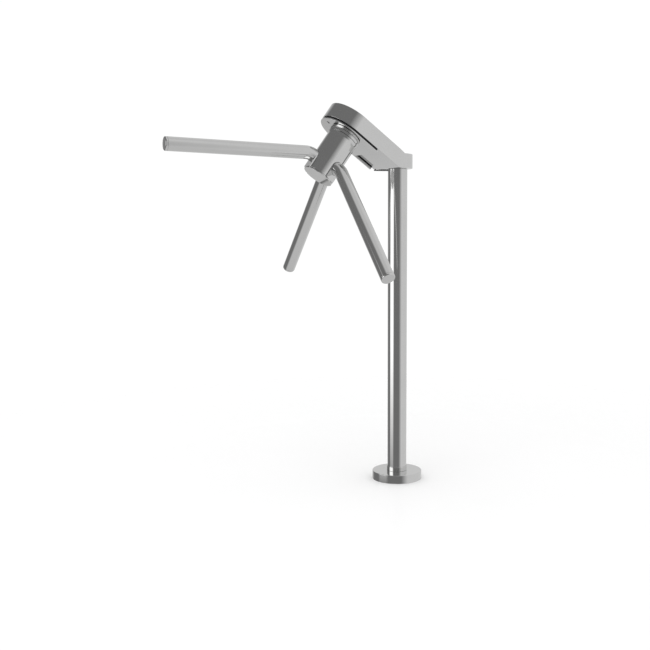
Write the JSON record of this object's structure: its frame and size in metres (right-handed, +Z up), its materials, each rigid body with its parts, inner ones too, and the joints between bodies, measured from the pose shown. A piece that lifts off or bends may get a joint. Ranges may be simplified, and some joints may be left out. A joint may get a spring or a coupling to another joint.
{
  "type": "visitor counter turnstile",
  "caption": "Single-post tripod turnstile with a slanted round-nosed head whose rotor hub carries bent tubular arms and counts visitors as it turns.",
  "frame": {"origin": "centre of the base on the floor, on the post's axis", "axes": "+Z up along the post; the slanted head and its rotor reach towards -X; the part is symmetric about the X-Z plane apart from the side rail and its edging"},
  "size_m": [0.6776, 0.627, 0.9821],
  "materials": {
    "polished_steel": "mirror-polished stainless steel, very fine polishing lines",
    "zinc_steel": "dull zinc-plated steel",
    "hard_steel": "ground hardened steel",
    "black_rubber": "matt black rubber",
    "black_plastic": "matt black moulded plastic",
    "circuit_board": "green solder-masked board"
  },
  "bodies": {
    "stand": {"base_cover": "polished_steel", "foot_collar": "polished_steel", "post": "polished_steel", "head_shell": "polished_steel", "face_plate": "polished_steel", "side_rail": "polished_steel", "bearing_housing": "polished_steel", "floor_flange": "zinc_steel", "head_spigot": "zinc_steel", "face_boss": "zinc_steel", "chassis_plate": "zinc_steel", "anchor_bolt_1": "zinc_steel", "chassis_spacer_1": "zinc_steel", "anchor_bolt_2": "zinc_steel", "chassis_spacer_2": "zinc_steel", "anchor_bolt_3": "zinc_steel", "chassis_spacer_3": "zinc_steel", "anchor_bolt_4": "zinc_steel", "chassis_spacer_4": "zinc_steel", "post_grub_screw_1": "hard_steel", "post_grub_screw_2": "hard_steel", "face_screw": "hard_steel", "lever_pin": "hard_steel", "pawl_pin": "hard_steel", "shaft_bearing_1": "hard_steel", "shaft_bearing_2": "hard_steel", "face_seal": "black_rubber", "rail_seal": "black_rubber", "heel_trim": "black_rubber", "rotor_seal": "black_rubber", "counter_module": "black_plastic", "counter_sensor": "black_plastic", "counter_board": "circuit_board"},
    "rotor": {"rotor_hub": "polished_steel", "hub_end_plate": "polished_steel", "arm_carrier": "zinc_steel", "rotor_shaft": "hard_steel", "rotor_bolt": "zinc_steel", "index_cam": "hard_steel", "ratchet_wheel": "hard_steel", "counter_vane": "black_plastic", "arm_1": "polished_steel", "arm_2": "polished_steel", "arm_3": "polished_steel", "arm_cap_1": "polished_steel", "arm_cap_2": "polished_steel", "arm_cap_3": "polished_steel", "arm_saddle_1": "polished_steel", "arm_saddle_2": "polished_steel", "arm_saddle_3": "polished_steel"},
    "index_lever": {"index_lever": "hard_steel"},
    "index_roller": {"index_roller": "black_rubber"},
    "pawl": {"pawl": "hard_steel"}
  },
  "joints": [
    {"name": "rotor_spin", "type": "hinge", "parent": "stand", "child": "rotor", "pos_m": [-0.1854, 0, 0.8566], "axis": [0.5878, 0, 0.809], "continuous": true},
    {"name": "index_lever_swing", "type": "hinge", "parent": "stand", "child": "index_lever", "pos_m": [-0.12708, -0.05, 0.91645], "axis": [0.5878, 0, 0.809], "range_deg": [0, 8], "stiffness_Nm_per_rad": 0.6, "springref_deg": -11.46},
    {"name": "roller_spin", "type": "hinge", "parent": "index_lever", "child": "index_roller", "pos_m": [-0.15346, -0.0246, 0.94242], "axis": [0.5878, 0, 0.809], "continuous": true},
    {"name": "pawl_swing", "type": "hinge", "parent": "stand", "child": "pawl", "pos_m": [-0.12943, 0.048, 0.91322], "axis": [-0.5878, 0, -0.809], "range_deg": [0, 10], "stiffness_Nm_per_rad": 0.3, "springref_deg": -11.46}
  ]
}
